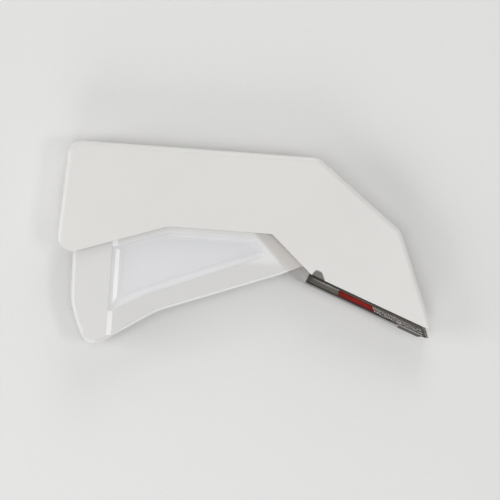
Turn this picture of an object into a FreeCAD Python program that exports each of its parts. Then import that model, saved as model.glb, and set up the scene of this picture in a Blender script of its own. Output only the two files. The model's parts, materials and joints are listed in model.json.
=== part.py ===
import FreeCAD
import Part
import math
import os

# Disposable skin stapler, lying on its right flank as it lies in its tray.
# It is drawn in the tool's own side view: the back of the grip runs along +X from the rear
# top corner at (0, 0), +Y points from the trigger to the back, and z = 0 is the parting plane
# between the two housing shells. At the end everything is moved so that the origin is the
# bottom centre of the whole tool. Lengths are millimetres, angles are degrees.

# Housing, side view
BACK_LENGTH = 105.3          # straight back of the grip, rear corner to brow
BROW_ANGLE = -37.5           # slope of the brow
BROW_LENGTH = 46.4
NOSE_ANGLE = -68.0           # slope of the nose front, and of the driver and the staples
NOSE_LENGTH = 44.5
MAGAZINE_ANGLE = -20.9       # slope of the magazine along the underside of the nose
GRIP_DEPTH = 33.45           # back to belly
BELLY_REAR_X = 44.2          # where the heel slope meets the belly
THROAT_X = 88.0              # where the belly turns down into the throat
THROAT_ANGLE = -41.9
HEEL_ANGLE = 19.0            # rise of the heel edge towards the belly
REAR_LEAN = 2.9              # how far the rear edge leans back from square
REAR_CORNER_R = 6.0
BROW_CORNER_R = 5.0
NOSE_CORNER_R = 6.0
TIP_CORNER_R = 1.2
HEEL_CORNER_R = 6.7
THROAT_CORNER_R = 1.8
BELLY_CORNER_R = 4.0
EDGE_FILLET = 2.2            # rounding of the flank's edge along back, brow, nose and rear

# Housing, thickness
HALF_THICKNESS = 10.0        # parting plane to flank over the grip
TIP_HALF_THICKNESS = 6.0     # the same at the tip of the nose
TAPER_START_X = 106.0        # where the flanks start to close in
TAPER_BLEND_R = 160.0
WALL = 2.0                   # back, brow and rear walls
FLANK_WALL = 1.7
NOSE_WALL = 2.2
FLOOR_WALL = 1.4             # wall that carries the magazine
RIB = 1.2                    # thickness of inner ribs
GRIP_RIB_COUNT = 3
GRIP_RIB_DROP = 13.0         # how far a grip rib reaches down from the back
GRIP_RIB_GAP = 3.0           # parting plane to the free edge of a grip rib

# Alignment posts that join the shells, as places in the side view
POST_R = 1.3
POST_BOSS_R = 2.8
POST_REACH = 3.0
POST_GAP = 0.05
POST_PLACES = ((7.5, -8.5), (62.0, -7.0), (131.0, -26.5))

# Trigger pivot
PIVOT_BACK = 65.0            # along the magazine, back from the tip of the nose
PIVOT_HEIGHT = 8.4           # above the housing's underside there
PIVOT_PIN_R = 1.5
PIVOT_BOSS_R = 3.6
PIN_GRIP = 1.4               # how deep the pin sits in each flank boss
RUNNING_GAP = 0.05           # radial clearance of a turning or sliding fit
PRESS_GAP = 0.01             # radial clearance of a seated fit
SIDE_GAP = 0.15              # clearance beside a moving piece

# Trigger
TRIGGER_HALF_WIDTH = 6.7
TRIGGER_COVER = 4.2          # how far the trigger reaches up behind the flank's lower edge
TRIGGER_HUB_R = 4.8
TRIGGER_EDGE_FILLET = 1.5
TRIGGER_REAR_X = 4.8         # rear edge, at this distance below the back
TRIGGER_REAR_DROP = 50.0
TRIGGER_REAR_ANGLE = -88.5
TRIGGER_BEND_DROP = 69.1     # where the rear edge bends forward to the tip
TRIGGER_TOE_ANGLE = -66.0
TRIGGER_BEND_R = 30.0
TRIGGER_TIP_R = 5.6
TRIGGER_SOLE_ANGLE = 32.8    # rise of the underside from the tip to the knee
TRIGGER_KNEE_X = 42.2
TRIGGER_KNEE_DROP = 69.3
TRIGGER_KNEE_R = 22.0
JAW_BACK = 8.4               # front end of the underside, back from and below the pivot
JAW_DROP = 11.9
JAW_R = 12.0
CHIN_FORWARD = 2.6
CHIN_DROP = 6.7
CHIN_R = 1.8
TRIGGER_TOP_BACK = 17.0      # where the top turns down to the hub, back from the pivot
TRIGGER_TOP_RADII = (8.0, 6.0)
TRIGGER_WALL = 1.8
HEEL_BLOCK_X = 21.3          # front edge of the wider block at the trigger's rear
HEEL_BLOCK_PROUD = 0.6
HEEL_BLOCK_FILLET = 1.9
HEEL_STEP = 2.1              # length of the slope from the block down to the lever
SHOULDER_BACK = 18.6         # crease where the flank starts to dip under the housing
SHOULDER_RISE = 3.1
SHOULDER_ANGLE = -46.5
SHOULDER_WIDTH = 7.2
SHOULDER_DIP = 1.2
TRIGGER_HOLLOW_BACK = 22.0   # front end of the hollow, back from the pivot
PLUG_ROOM = 1.0              # clearance of the slot that lets the trigger pass the plug
TRIGGER_SWING = 11.0         # full squeeze

# Sunken side panel of the trigger
RECESS_DEPTH = 2.0
RECESS_RIM = 2.2             # rim that shows between the panel and the housing
RECESS_TOP_BACK = 19.4       # its two front corners, back from the pivot
RECESS_NOSE_BACK = 13.6
RECESS_NOSE_DROP = 6.8       # from one front corner down to the other
RECESS_KNEE_BACK = 3.5       # its lower corner, back from and above the knee
RECESS_KNEE_RISE = 7.2
RECESS_REAR_DROP = 1.9       # its rear corner, below the knee
RECESS_SLOPES = (3.0, 3.0, 3.8, 3.6, 4.4, 5.4)
RECESS_COURSE = ((0, 0), (0.28, 0.55), (0.6, 0.87), (1, 1))   # shares of the slope and the depth
RECESS_RIM_RADII = (0.8, 5.0, 3.0, 2.4, 14.0, 0.8)
RECESS_FLOOR_RADII = (1.6, 5.0, 2.0, 1.4, 14.0, 1.6)

# Dowel that keys the drive arm into the trigger
DOWEL_BACK = 6.6             # back from and above the pivot
DOWEL_RISE = 0.5
DOWEL_R = 1.0

# Drive arm and its cross pin
ARM_HALF_THICKNESS = 1.2
ARM_TAIL = 17.0
ARM_TAIL_TOP = 1.4
ARM_TAIL_FOOT = 3.4
ARM_ROOT_HALF = 4.2
ARM_TIP_HALF = 2.9
DRIVE_PIN_R = 1.5

# Driver: a steel blade on a moulded carrier that slides along the nose front
BLADE_GAP = 0.2              # front wall to blade
BLADE_THICKNESS = 0.8
BLADE_HALF_WIDTH = 4.05
BLADE_TOP = 12.3             # along the nose front from the brow corner, at rest
FORK_HALF_WIDTH = 3.05
CARRIER_HALF_WIDTH = 4.3
CARRIER_DEPTH = 12.4
CARRIER_CHEEK_GAP = 0.4      # arm to cheek, each side
YOKE_GAP = 0.25              # above and below the cross pin
YOKE_WALL = 2.0
PIN_REST_ALONG = 15.5        # cross pin at rest, along the nose front from the brow corner
PIN_REST_INWARD = 7.0        # cross pin at rest, inward from the nose front
PIN_FULL_INWARD = 11.7       # cross pin at full squeeze
GUIDE_GAP = 0.2
RIVET_R = 0.8
RIVET_REACH = 1.8

# Staples, round crown size 5.7 x 3.9 in 0.53 wire
STAPLE_COUNT = 35
STAPLE_WIDTH = 5.7
STAPLE_HEIGHT = 3.9
WIRE = 0.53
STAPLE_BEND = 0.35
STAPLE_SLIP = 0.003          # gap between neighbours, across the wire

# Magazine, measured down from the housing's underside
PLATE = 0.5                  # sheet thickness of the channel
CHANNEL_INNER_HALF = 3.0
CHANNEL_DEPTH = 3.9
WINDOW_TOP = 1.05
WINDOW_BOTTOM = 3.2
WINDOW_REAR_MARGIN = 1.6
WINDOW_FRONT_BRIDGE = 0.8
CHANNEL_LENGTH = 57.6
CHANNEL_FRONT = 3.65         # inward from the nose front, clear of the driver
STAPLE_TOP_GAP = 0.05
RAIL_HALF = 2.2
RAIL_WALL = 0.55
RAIL_CROWN_GAP = 0.04
FLANGE_HALF = 3.8
FLANGE_THICKNESS = 0.7
FLANGE_FRONT = 3.2           # along the magazine, back from the tip
FLANGE_RAKE = 1.3            # the flange's front edge runs back by this much to its underside
ANVIL_HALF = 1.3
ANVIL_THICKNESS = 0.8
ANVIL_ROOT = 2.5
CLIP_REAR = 15.1             # along the magazine, back from the tip
CLIP_SHEET = 0.3
CLIP_LIP = 0.5               # how far the clip's sides climb above the flange
PLUG_SOLE = 3.3              # flat underside of the plug behind the channel
PLUG_LENGTH = 14.6
PLUG_BACK = 1.4              # height of the plug's thin rear end
PLUG_NOSE = 2.2
PLUG_FIT = 0.05
EJECTOR_SHEET = 0.25
EJECTOR_REAR = 20.0          # along the magazine, back from the tip
EJECTOR_LENGTH = 12.0
EJECTOR_RISE = 0.8

# Tabs of the channel that fold out under the floor and up the flanks
TAB_REAR = 56.3              # along the magazine, back from the tip
TAB_FOOT = 5.5
TAB_HEAD = 2.1
TAB_RISE = 2.5
TAB_LEAN = 0.7               # the head starts this far forward of the foot's rear end
TAB_SHOULDER = 0.55          # the head's front corner drops by this much
TAB_SINK = 1.0               # depth of the flank's seat for the tab
NOTCH_GAP = 0.25

# Steel guide behind the blade
GUIDE_TOP = 28.0             # along the nose front from the brow corner
GUIDE_SHEET = 0.6
GUIDE_FOOT = 7.0
GUIDE_HALF = 4.0
BLADE_CLEARANCE = 0.35

# Follower and its spring
FOLLOWER_LENGTH = 15.0
FOLLOWER_GAP = 0.12
FOLLOWER_PUSH_BACK = 5.0
FOLLOWER_LEDGE = 0.35        # its sides step in above the window's middle
FOLLOWER_LEDGE_DROP = 0.55   # below the window's top
SPRING_R = 0.98              # mean radius of the follower spring
SPRING_WIRE_R = 0.17
SPRING_TURNS = 4

# Return spring of the trigger
RETURN_COIL_R = 3.75
RETURN_WIRE_R = 0.4
RETURN_TURNS = 2
RETURN_Z = 1.6               # parting plane to the near side of the coil
RETURN_ROOM = 3.0            # width kept for the coil
RETURN_LEG = 13.0
RETURN_UPPER_ANGLE = 24.0    # leg that stands on the housing's rib
RETURN_LOWER_ANGLE = 180.0   # leg that presses on the trigger

FAR = 60.0                   # reach of a cutter beyond what it cuts
OVER = 3.0                   # how far an outline is widened past an edge that is trimmed later

Vec = FreeCAD.Vector


# Geometry helpers

def polar(angle, length=1.0):
    """Vector of that length at an angle from +X."""
    return Vec(length * math.cos(math.radians(angle)), length * math.sin(math.radians(angle)), 0)


def crossing(a, a_angle, b, b_angle):
    """Where the line through a at a_angle meets the line through b at b_angle."""
    da, db = polar(a_angle), polar(b_angle)
    along = ((b.x - a.x) * db.y - (b.y - a.y) * db.x) / (da.x * db.y - da.y * db.x)
    return a + da * along


def inset(corners, distances):
    """Corners of a clockwise outline with edge i moved inwards by distances[i]."""
    moved = []
    count = len(corners)
    for i in range(count):
        before, here, after = corners[i - 1], corners[i], corners[(i + 1) % count]
        lines = []
        for start, end, distance in ((before, here, distances[i - 1]), (here, after, distances[i])):
            run = (end - start).normalize()
            inward = Vec(run.y, -run.x, 0)
            lines.append((start + inward * distance, math.degrees(math.atan2(run.y, run.x))))
        moved.append(crossing(lines[0][0], lines[0][1], lines[1][0], lines[1][1]))
    return moved


def outline(corners, radii=None):
    """Closed wire through the corners, each rounded by its radius."""
    count = len(corners)
    radii = radii or [0] * count
    ends = []
    for i in range(count):
        here = corners[i]
        to_before = (corners[i - 1] - here).normalize()
        to_after = (corners[(i + 1) % count] - here).normalize()
        if radii[i] <= 0:
            ends.append((here, None, here))
            continue
        half = to_before.getAngle(to_after) / 2
        reach = radii[i] / math.tan(half)
        middle = (to_before + to_after).normalize()
        bulge = here + middle * (radii[i] / math.sin(half) - radii[i])
        ends.append((here + to_before * reach, bulge, here + to_after * reach))
    edges = []
    for i in range(count):
        start, bulge, end = ends[i]
        if bulge is not None:
            edges.append(Part.Arc(start, bulge, end).toShape())
        following = ends[(i + 1) % count][0]
        if (following - end).Length > 1e-6:
            edges.append(Part.LineSegment(end, following).toShape())
    return Part.Wire(edges)


def prism(corners, low, high, radii=None):
    """Side-view outline as a solid between two heights."""
    face = Part.Face(outline(corners, radii))
    face.translate(Vec(0, 0, low))
    return face.extrude(Vec(0, 0, high - low))


def points(*pairs):
    return [Vec(x, y, 0) for x, y in pairs]


def box(x0, x1, y0, y1, z0, z1):
    return Part.makeBox(x1 - x0, y1 - y0, z1 - z0, Vec(x0, y0, z0))


def disc(centre, radius, low, high):
    """Upright cylinder between two heights."""
    return Part.makeCylinder(radius, high - low, Vec(centre.x, centre.y, low))


def nose_point(along, inward):
    """Point at a distance down the nose front from the brow corner, and inward of it."""
    return BROW_FOOT + NOSE_RUN * along + NOSE_INWARD * inward


def magazine_point(x, height):
    """Point along the magazine from the tip, above the housing's underside."""
    return TIP + MAGAZINE_RUN * x + UP.cross(MAGAZINE_RUN) * height


def placed(shape, frame):
    moved = shape.copy()
    moved.Placement = frame.multiply(moved.Placement)
    return moved


def both_sides(shape):
    """The shape and its mirror image across the parting plane."""
    return [shape, shape.mirror(Vec(0, 0, 0), Vec(0, 0, 1))]


def frame_at(origin, x_axis, y_axis):
    """Frame with its own X and Y axes; Z completes them."""
    z_axis = x_axis.cross(y_axis)
    matrix = FreeCAD.Matrix(
        x_axis.x, y_axis.x, z_axis.x, origin.x,
        x_axis.y, y_axis.y, z_axis.y, origin.y,
        x_axis.z, y_axis.z, z_axis.z, origin.z,
        0, 0, 0, 1)
    return FreeCAD.Placement(matrix)


def coil_spring(radius, wire_r, pitch, height, sides=4):
    """Coil up the Z axis, its wire four-sided to keep the solid light."""
    helix = Part.makeHelix(pitch, height, radius)
    ring = []
    for i in range(sides + 1):
        turn = 2 * math.pi * i / sides
        ring.append(Vec(radius + wire_r * math.cos(turn), 0, wire_r * math.sin(turn)))
    return Part.Wire(helix.Edges).makePipeShell([Part.makePolygon(ring)], True, True)


# Layout of the side view

UP = Vec(0, 0, 1)
REAR_TOP = Vec(0, 0, 0)
BROW_TOP = Vec(BACK_LENGTH, 0, 0)
BROW_FOOT = BROW_TOP + polar(BROW_ANGLE, BROW_LENGTH)
TIP = BROW_FOOT + polar(NOSE_ANGLE, NOSE_LENGTH)
THROAT = Vec(THROAT_X, -GRIP_DEPTH, 0)
BELLY = Vec(BELLY_REAR_X, -GRIP_DEPTH, 0)
THROAT_FOOT = crossing(THROAT, THROAT_ANGLE, TIP, MAGAZINE_ANGLE)
HEEL = crossing(BELLY, HEEL_ANGLE, REAR_TOP, 90 - REAR_LEAN)

# Clockwise from the rear top corner; edges: back, brow, nose, floor, throat, belly, heel, rear
HOUSING = [REAR_TOP, BROW_TOP, BROW_FOOT, TIP, THROAT_FOOT, THROAT, BELLY, HEEL]

NOSE_RUN = polar(NOSE_ANGLE)
NOSE_INWARD = NOSE_RUN.cross(UP)
# Sheet frame: X down the nose front from the brow corner, Y across the tool, Z inward
SHEET_FRAME = frame_at(BROW_FOOT, NOSE_RUN, UP)
# Nose frame: X down the nose front from the brow corner, -Y inward, Z across the tool
NOSE_FRAME = frame_at(BROW_FOOT, NOSE_RUN, -NOSE_INWARD)
# Magazine frame: X along the magazine to the tip, Y up into the housing, Z across the tool
MAGAZINE_RUN = polar(MAGAZINE_ANGLE)
PIVOT = magazine_point(-PIVOT_BACK, PIVOT_HEIGHT)
DOWEL = PIVOT + Vec(-DOWEL_BACK, DOWEL_RISE, 0)
MAGAZINE_FRAME = frame_at(TIP, MAGAZINE_RUN, polar(MAGAZINE_ANGLE + 90))
SLANT = MAGAZINE_ANGLE - NOSE_ANGLE          # between the staples' plane and the magazine
SLANT_SIN = math.sin(math.radians(SLANT))
SLANT_COS = math.cos(math.radians(SLANT))

# Driver and trigger motion
PIN_REST = nose_point(PIN_REST_ALONG, PIN_REST_INWARD)
ARM_REACH = (PIN_REST - PIVOT).Length


def swung(point, angle=TRIGGER_SWING):
    """A point of the trigger after a squeeze by that angle."""
    arm = point - PIVOT
    turned = FreeCAD.Rotation(UP, -angle).multVec(arm)
    return PIVOT + turned


DRIVER_STROKE = (swung(PIN_REST) - PIN_REST).dot(NOSE_RUN)

# Staple places: the first staple lies in the driver's plane
BLADE_FRONT = NOSE_WALL + BLADE_GAP
STAPLE_INWARD = BLADE_FRONT + (BLADE_THICKNESS - WIRE) / 2
STAPLE_PITCH = (WIRE + STAPLE_SLIP) / SLANT_SIN
CROWN_SPREAD = WIRE * (SLANT_SIN + SLANT_COS) / 2
CROWN_DROP = PLATE + STAPLE_TOP_GAP + CROWN_SPREAD
RAIL_TOP = -(CROWN_DROP + CROWN_SPREAD + RAIL_CROWN_GAP)


def along_nose(inward, drop):
    """Distance down the nose front of a point that lies inward of it and below the floor line."""
    return NOSE_LENGTH - inward * SLANT_COS / SLANT_SIN + drop / SLANT_SIN


CROWN_ALONG = along_nose(STAPLE_INWARD + WIRE / 2, CROWN_DROP)
STAPLE_TOP_ALONG = CROWN_ALONG - WIRE / 2
BLADE_FOOT = STAPLE_TOP_ALONG - 0.3


def slant_x(inward, height):
    """Magazine-frame x of the slanted plane that lies inward of the nose front, at a height."""
    return -(inward + height * SLANT_COS) / SLANT_SIN


# Housing shells

def flank_profile(trim):
    """Plan-view corners of half the housing, trimmed by a flank wall."""
    slope = (TIP_HALF_THICKNESS - HALF_THICKNESS) / (TIP.x - TAPER_START_X)
    end_x = TIP.x + FAR
    end_half = HALF_THICKNESS + slope * (end_x - TAPER_START_X)
    return points((-FAR, 0), (-FAR, HALF_THICKNESS - trim), (TAPER_START_X, HALF_THICKNESS - trim),
                  (end_x, end_half - trim), (end_x, 0))


def flank_block(trim):
    """Everything between the parting plane and the flank, as seen from above."""
    radii = [0, 0, TAPER_BLEND_R, 0, 0]
    block = prism(flank_profile(trim), 0, 4 * FAR, radii)
    return placed(block, frame_at(Vec(0, FAR, 0), Vec(1, 0, 0), UP))


def housing_half():
    """Solid half of the housing, from the parting plane to the left flank."""
    blank_corners = inset(HOUSING, [0, 0, 0, -OVER, -OVER, -OVER, -OVER, 0])
    radii = [REAR_CORNER_R, BROW_CORNER_R, NOSE_CORNER_R, 0, 0, 0, 0, 0]
    blank = prism(blank_corners, 0, HALF_THICKNESS + 1, radii).common(flank_block(0))
    back = [e for e in blank.Edges
            if abs(e.CenterOfMass.y) < 1e-4 and abs(e.CenterOfMass.z - HALF_THICKNESS) < 1e-4]
    blank = blank.makeFillet(EDGE_FILLET, back)
    under = inset(HOUSING, [-OVER, -OVER, 0, 0, 0, 0, 0, 0])
    under_radii = [0, 0, 0, TIP_CORNER_R, THROAT_CORNER_R, THROAT_CORNER_R, BELLY_CORNER_R, HEEL_CORNER_R]
    return blank.common(prism(under, -1, HALF_THICKNESS + 2, under_radii))


def housing_room():
    """Hollow of one half, open to the trigger's side."""
    corners = inset(HOUSING, [WALL, WALL, NOSE_WALL, FLOOR_WALL, -OVER, -OVER, -OVER, WALL])
    room = prism(corners, -1, HALF_THICKNESS, [REAR_CORNER_R - WALL, 3, 3, 0, 0, 0, 0, 0])
    return room.common(flank_block(FLANK_WALL))


def guide_ribs():
    """Ribs that keep the driver's carrier straight, in the nose frame."""
    top = PIN_REST_ALONG - 6
    foot = PIN_REST_ALONG + DRIVER_STROKE + YOKE_WALL + 2
    side = CARRIER_HALF_WIDTH + GUIDE_GAP
    carrier_back = BLADE_FRONT + BLADE_THICKNESS + CARRIER_DEPTH
    ribs = []
    for inward in (BLADE_FRONT + 2.2, carrier_back - 2.2 - RIB):
        ribs.append(box(top, foot, -inward - RIB, -inward, side, HALF_THICKNESS))
    behind = carrier_back + GUIDE_GAP
    clear_of_arm = ARM_HALF_THICKNESS + CARRIER_CHEEK_GAP + 0.6
    ribs.append(box(top, foot - 1.5, -behind - RIB, -behind, clear_of_arm, HALF_THICKNESS))
    return [placed(rib, NOSE_FRAME) for rib in ribs]


def arm_stop():
    """Rib that the drive arm rests against when the trigger is let go."""
    run = (PIN_REST - PIVOT).normalize()
    above = Vec(-run.y, run.x, 0)
    start = PIVOT + run * 15 + above * (arm_half_at(15) + 0.3)
    frame = frame_at(start, run, above)
    return placed(box(0, RIB, 0, 9, 0.6, HALF_THICKNESS), frame)


def spring_rest():
    """Rib under the free end of the return spring's upper leg."""
    leg = polar(RETURN_UPPER_ANGLE)
    seat = return_leg_start(RETURN_UPPER_ANGLE) + leg * (RETURN_LEG - 3)
    frame = frame_at(seat, leg, polar(RETURN_UPPER_ANGLE + 90))
    top = -(RETURN_WIRE_R + RUNNING_GAP)
    return placed(box(0, 2 * RIB, top - 5, top, RETURN_Z - 0.2, HALF_THICKNESS), frame)


def grip_ribs():
    """Stiffening ribs across the back of the grip."""
    pitch = (THROAT_X - BELLY_REAR_X) / 2
    ribs = []
    for i in range(GRIP_RIB_COUNT):
        x = BELLY_REAR_X - pitch + i * pitch
        ribs.append(box(x, x + RIB, -GRIP_RIB_DROP, -WALL / 2, GRIP_RIB_GAP, HALF_THICKNESS))
    return ribs


def tab_outline(foot):
    """Tab in the magazine frame, from its head down to the given height."""
    rear = -TAB_REAR
    head = rear + TAB_LEAN
    slope = head + TAB_HEAD + TAB_SHOULDER * 1.5
    return points((rear, foot), (rear, TAB_SHOULDER), (head, TAB_RISE), (head + TAB_HEAD, TAB_RISE),
                  (slope, TAB_RISE - TAB_SHOULDER), (rear + TAB_FOOT, 0), (rear + TAB_FOOT, foot))


def tab_seat():
    """Shallow seat for the tab in the flank's lower edge."""
    grown = inset(tab_outline(-1.0), [-NOTCH_GAP] * 7)
    seat = prism(grown, HALF_THICKNESS - TAB_SINK, FAR, [0, 0, 0.6, 0.6, 0, 0, 0])
    return placed(seat, MAGAZINE_FRAME)


def driver_slot():
    """Way out for the driver through the floor, in the nose frame."""
    front, back = NOSE_WALL, BLADE_FRONT + BLADE_THICKNESS + GUIDE_GAP
    half = BLADE_HALF_WIDTH + GUIDE_GAP
    return placed(box(NOSE_LENGTH - 12, NOSE_LENGTH + 9, -back, -front, -1, half), NOSE_FRAME)


def shell(with_posts):
    """Left half of the housing; the right one is the same mirrored, with posts for sockets."""
    solid = housing_half()
    body = solid.cut(housing_room())
    inner = [disc(PIVOT, PIVOT_BOSS_R, TRIGGER_HALF_WIDTH + SIDE_GAP, HALF_THICKNESS)]
    inner += guide_ribs() + [arm_stop()] + grip_ribs()
    if not with_posts:
        inner.append(spring_rest())
    places = points(*POST_PLACES)
    inner += [disc(p, POST_BOSS_R, 0, HALF_THICKNESS) for p in places]
    body = body.fuse([piece.common(solid) for piece in inner]).removeSplitter()
    pin_end = HALF_THICKNESS - FLANK_WALL - SIDE_GAP / 2 + PIN_GRIP
    cuts = [disc(PIVOT, PIVOT_PIN_R + PRESS_GAP, 0, pin_end), tab_seat(), driver_slot()]
    if with_posts:
        body = body.cut(cuts)
        return body.fuse([disc(p, POST_R, -POST_REACH, 1) for p in places]).removeSplitter()
    cuts += [disc(p, POST_R + POST_GAP, -1, POST_REACH + 0.3) for p in places]
    return body.cut(cuts)


def left_shell():
    return shell(with_posts=False)


def right_shell():
    return shell(with_posts=True).mirror(Vec(0, 0, 0), UP)


def pivot_pin():
    half = HALF_THICKNESS - FLANK_WALL - SIDE_GAP + PIN_GRIP
    pin = disc(PIVOT, PIVOT_PIN_R, -half, half)
    return pin.makeChamfer(0.25, pin.Edges)


# Trigger

def trigger_corners():
    """Corners and radii of the trigger's side view, clockwise from its rear top."""
    heel_line = inset(HOUSING, [0, 0, 0, 0, 0, TRIGGER_COVER, TRIGGER_COVER, 0])
    belly_rear = heel_line[6]
    rear = Vec(TRIGGER_REAR_X, -TRIGGER_REAR_DROP, 0)
    bend = crossing(rear, TRIGGER_REAR_ANGLE, Vec(0, -TRIGGER_BEND_DROP, 0), 0)
    rear_top = crossing(belly_rear, HEEL_ANGLE, rear, TRIGGER_REAR_ANGLE)
    belly_front = Vec(PIVOT.x - TRIGGER_TOP_BACK, belly_rear.y, 0)
    hub_top = PIVOT + Vec(0, TRIGGER_HUB_R, 0)
    hub_front = PIVOT + Vec(TRIGGER_HUB_R, TRIGGER_HUB_R, 0)
    chin = PIVOT + Vec(CHIN_FORWARD, -CHIN_DROP, 0)
    jaw = PIVOT + Vec(-JAW_BACK, -JAW_DROP, 0)
    knee = Vec(TRIGGER_KNEE_X, -TRIGGER_KNEE_DROP, 0)
    tip = crossing(knee, TRIGGER_SOLE_ANGLE, bend, TRIGGER_TOE_ANGLE)
    corners = [rear_top, belly_rear, belly_front, hub_top, hub_front, chin, jaw, knee, tip, bend]
    radii = [0, *TRIGGER_TOP_RADII, 0, 0, CHIN_R, JAW_R, TRIGGER_KNEE_R, TRIGGER_TIP_R, TRIGGER_BEND_R]
    return corners, radii


def recess_corners():
    """Border of the sunken side panel, clockwise from its rear top."""
    belly_rear = inset(HOUSING, [0, 0, 0, 0, 0, -RECESS_RIM, -RECESS_RIM, 0])[6]
    rear_top = crossing(belly_rear, HEEL_ANGLE, Vec(HEEL_BLOCK_X, 0, 0), 90)
    front_top = Vec(PIVOT.x - RECESS_TOP_BACK, belly_rear.y, 0)
    nose = Vec(PIVOT.x - RECESS_NOSE_BACK, belly_rear.y - RECESS_NOSE_DROP, 0)
    knee = Vec(TRIGGER_KNEE_X - RECESS_KNEE_BACK, RECESS_KNEE_RISE - TRIGGER_KNEE_DROP, 0)
    rear_low = Vec(HEEL_BLOCK_X, -TRIGGER_KNEE_DROP - RECESS_REAR_DROP, 0)
    return [rear_top, belly_rear, front_top, nose, knee, rear_low]


def recess():
    """Sunken panel of one side; its borders slope ever less steeply down to its floor."""
    corners = recess_corners()
    rings = []
    for share, drop in RECESS_COURSE:
        moved = inset(corners, [width * share for width in RECESS_SLOPES])
        radii = [rim + (floor - rim) * share for rim, floor in zip(RECESS_RIM_RADII, RECESS_FLOOR_RADII)]
        ring = outline(moved, radii)
        ring.translate(Vec(0, 0, TRIGGER_HALF_WIDTH - RECESS_DEPTH * drop))
        rings.append(ring)
    above = prism(corners, TRIGGER_HALF_WIDTH, TRIGGER_HALF_WIDTH + OVER, RECESS_RIM_RADII)
    return Part.makeLoft(rings, True, True).fuse(above).removeSplitter()


def shoulder():
    """Wedge off one flank, so that it dips towards the housing's throat."""
    crease = PIVOT + Vec(-SHOULDER_BACK, SHOULDER_RISE, 0)
    run = polar(SHOULDER_ANGLE)
    frame = frame_at(crease - run * OVER * 3, Vec(-run.y, run.x, 0), UP)
    dip = prism(points((0, 0), (SHOULDER_WIDTH, -SHOULDER_DIP), (SHOULDER_WIDTH, OVER), (0, OVER)),
                0, FAR)
    dip.translate(Vec(0, TRIGGER_HALF_WIDTH, 0))
    return placed(dip, frame)


def trigger_blank(half, rounding, rear, front):
    """Stretch of the trigger's side view at one width, with its open edges rounded."""
    corners, radii = trigger_corners()
    body = prism(corners, -half, half, radii).common(box(rear, front, -2 * FAR, FAR, -FAR, FAR))
    rim = [e for e in body.Edges
           if abs(abs(e.CenterOfMass.z) - half) < 1e-4
           and rear + 1e-4 < e.CenterOfMass.x < front - 1e-4
           and e.CenterOfMass.y < PIVOT.y - TRIGGER_HUB_R]
    return body.makeFillet(rounding, rim)


def heel_block():
    """Wider block at the trigger's rear, with a sloped step down to the lever."""
    half = TRIGGER_HALF_WIDTH + HEEL_BLOCK_PROUD
    blank = trigger_blank(half, HEEL_BLOCK_FILLET, -FAR, HEEL_BLOCK_X + HEEL_STEP)
    front = HEEL_BLOCK_X + HEEL_STEP
    step = points((-FAR, -half), (-FAR, half), (HEEL_BLOCK_X, half), (front, half - HEEL_BLOCK_PROUD),
                  (front, HEEL_BLOCK_PROUD - half), (HEEL_BLOCK_X, -half))
    upright = frame_at(Vec(0, FAR, 0), Vec(1, 0, 0), UP)
    return blank.common(placed(prism(step, 0, 4 * FAR), upright))


def spring_room():
    """Space in the trigger's hub for the return spring's coil and rear leg."""
    inner_r = RETURN_COIL_R - RETURN_WIRE_R - 0.15
    low, high = RETURN_Z - 0.1, RETURN_Z + RETURN_ROOM
    ring = disc(PIVOT, RETURN_COIL_R + RETURN_WIRE_R + 0.3, low, high)
    leg = box(PIVOT.x - TRIGGER_TOP_BACK, PIVOT.x, PIVOT.y + inner_r, PIVOT.y + FAR, low, high)
    front_leg = box(PIVOT.x, PIVOT.x + FAR, PIVOT.y, PIVOT.y + FAR, low, high)
    return ring.fuse([leg, front_leg]).cut(disc(PIVOT, inner_r, -FAR, FAR))


def trigger():
    """Moulded trigger: a lever with a sunken panel each side, hollow towards the housing."""
    lever = trigger_blank(TRIGGER_HALF_WIDTH, TRIGGER_EDGE_FILLET, HEEL_BLOCK_X + HEEL_STEP, 2 * FAR)
    body = lever.fuse(heel_block())
    body = body.cut(both_sides(recess()) + both_sides(shoulder()))
    corners, _ = trigger_corners()
    thin = TRIGGER_WALL
    hollow = inset(corners, [-OVER, -OVER, 0, 0, 0, thin, thin, thin, thin, thin])
    hollow_half = TRIGGER_HALF_WIDTH - RECESS_DEPTH - TRIGGER_WALL
    room = prism(hollow, -hollow_half, hollow_half)
    hollow_front = PIVOT.x - TRIGGER_HOLLOW_BACK
    room = room.common(box(-FAR, hollow_front, -2 * FAR, FAR, -FAR, FAR))
    slot_half = ARM_HALF_THICKNESS + RUNNING_GAP
    arm_floor = PIVOT.y - ARM_ROOT_HALF - RUNNING_GAP
    arm_slot = box(hollow_front - 1, 2 * FAR, arm_floor, FAR, -slot_half, slot_half)
    plug_half = CHANNEL_INNER_HALF + PLATE + 2 * SIDE_GAP
    plug_rear = magazine_point(-CHANNEL_LENGTH - PLUG_LENGTH, PLUG_ROOM)
    slot_roof = max(arm_floor, plug_rear.y)
    plug_slot = box(plug_rear.x - PLUG_ROOM, 2 * FAR, -FAR, slot_roof, -plug_half, plug_half)
    cuts = [room, arm_slot, plug_slot, spring_room(),
            disc(PIVOT, PIVOT_PIN_R + RUNNING_GAP, -FAR, FAR),
            disc(DOWEL, DOWEL_R + PRESS_GAP, -FAR, FAR)]
    return body.cut(cuts).removeSplitter()


def arm_dowel():
    half = TRIGGER_HALF_WIDTH - SIDE_GAP
    pin = disc(DOWEL, DOWEL_R, -half, half)
    return pin.makeChamfer(0.2, pin.Edges)


def arm_half_at(distance):
    """Half height of the drive arm at a distance from the pivot."""
    return ARM_ROOT_HALF + (ARM_TIP_HALF - ARM_ROOT_HALF) * distance / ARM_REACH


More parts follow.
